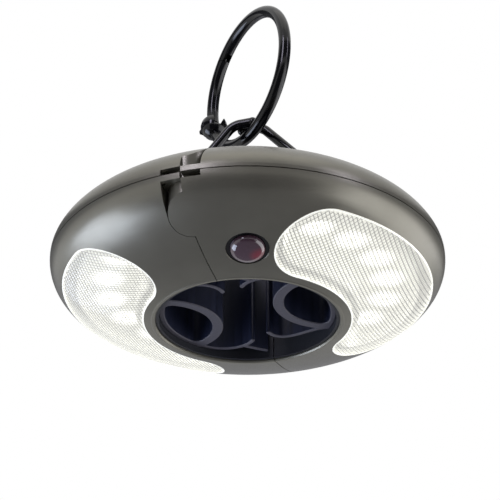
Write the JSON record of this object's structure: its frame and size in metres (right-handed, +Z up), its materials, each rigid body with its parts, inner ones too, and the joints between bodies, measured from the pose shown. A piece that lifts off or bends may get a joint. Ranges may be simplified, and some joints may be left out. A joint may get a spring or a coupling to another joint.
{
  "type": "patio umbrella light",
  "caption": "Round battery lamp in two hinged halves with kidney lenses, clamping rubber jaws, push button, hooks and a snap ring for hanging.",
  "frame": {"origin": "middle of the pole passage, on the widest circle of the housing", "axes": "+Z up the pole, -Y to the hinge of the halves, +Y to their open joint, +X to the half with the button"},
  "size_m": [0.2, 0.2, 0.1902],
  "materials": {
    "housing": "satin gunmetal paint on ABS",
    "lens": "prismatic clear polycarbonate, lit",
    "white_plastic": "gloss white",
    "board": "solder mask",
    "led": "clear resin over phosphor",
    "carrier": "moulded black ABS",
    "jaw_rubber": "smooth",
    "cell_jacket": "plain jacket",
    "steel": "zinc plated",
    "hook_black": "polished black",
    "button_smoke": "smoky translucent",
    "bezel_black": "gloss black"
  },
  "bodies": {
    "hanging_ring": {"snap_ring": "hook_black", "gate_pin": "steel"},
    "gate": {"ring_gate": "hook_black"},
    "right_half": {"right_top_shell": "housing", "right_bottom_shell": "housing", "right_lens": "lens", "right_reflector": "white_plastic", "right_light_board": "board", "right_leds": "led", "right_jaw_carrier": "carrier", "right_rubber_jaw": "jaw_rubber", "right_cells": "cell_jacket", "right_cell_holder": "carrier", "right_cell_contacts": "steel", "right_screws": "steel", "hinge_pin": "steel", "hinge_spring": "steel", "button_bezel": "bezel_black", "button_switch": "carrier", "control_board": "board"},
    "left_half": {"left_top_shell": "housing", "left_bottom_shell": "housing", "left_lens": "lens", "left_reflector": "white_plastic", "left_light_board": "board", "left_leds": "led", "left_jaw_carrier": "carrier", "left_rubber_jaw": "jaw_rubber", "left_cells": "cell_jacket", "left_cell_holder": "carrier", "left_cell_contacts": "steel", "left_screws": "steel"},
    "button": {"power_button": "button_smoke"},
    "right_hook_arm": {"right_hook": "hook_black", "right_hook_clip": "steel"},
    "left_hook_arm": {"left_hook": "hook_black", "left_hook_clip": "steel"},
    "right_door": {"right_cell_door": "housing"},
    "left_door": {"left_cell_door": "housing"}
  },
  "joints": [
    {"name": "hang_swing", "type": "hinge", "parent": "hanging_ring", "child": "right_half", "pos_m": [0, 0, 0.0794], "axis": [0.7547, -0.6561, 0], "range_deg": [-20, 20]},
    {"name": "clamshell", "type": "hinge", "parent": "right_half", "child": "left_half", "pos_m": [0, -0.0873, 0], "axis": [0, 0, 1], "range_deg": [0, 35], "stiffness_Nm_per_rad": 0.25, "springref_deg": -17.19},
    {"name": "right_hook_swivel", "type": "hinge", "parent": "right_half", "child": "right_hook_arm", "pos_m": [0.052, 0.0031, 0.027], "axis": [0, 0, 1], "range_deg": [-150, 0]},
    {"name": "left_hook_swivel", "type": "hinge", "parent": "left_half", "child": "left_hook_arm", "pos_m": [-0.052, -0.0031, 0.027], "axis": [0, 0, 1], "range_deg": [-150, 0]},
    {"name": "button_press", "type": "slide", "parent": "right_half", "child": "button", "axis": [-0.0828, 0.2548, 0.9634], "range_m": [0, 0.0012], "stiffness_N_per_m": 400, "springref_m": -0.001},
    {"name": "right_door_lift", "type": "slide", "parent": "right_half", "child": "right_door", "axis": [0, 0, 1], "range_m": [0, 0.02]},
    {"name": "left_door_lift", "type": "slide", "parent": "left_half", "child": "left_door", "axis": [0, 0, 1], "range_m": [0, 0.02]},
    {"name": "gate_open", "type": "hinge", "parent": "hanging_ring", "child": "gate", "pos_m": [-0.02743, 0.02384, 0.10629], "axis": [0.6561, 0.7547, 0], "range_deg": [0, 30], "stiffness_Nm_per_rad": 0.02, "springref_deg": -28.65}
  ]
}
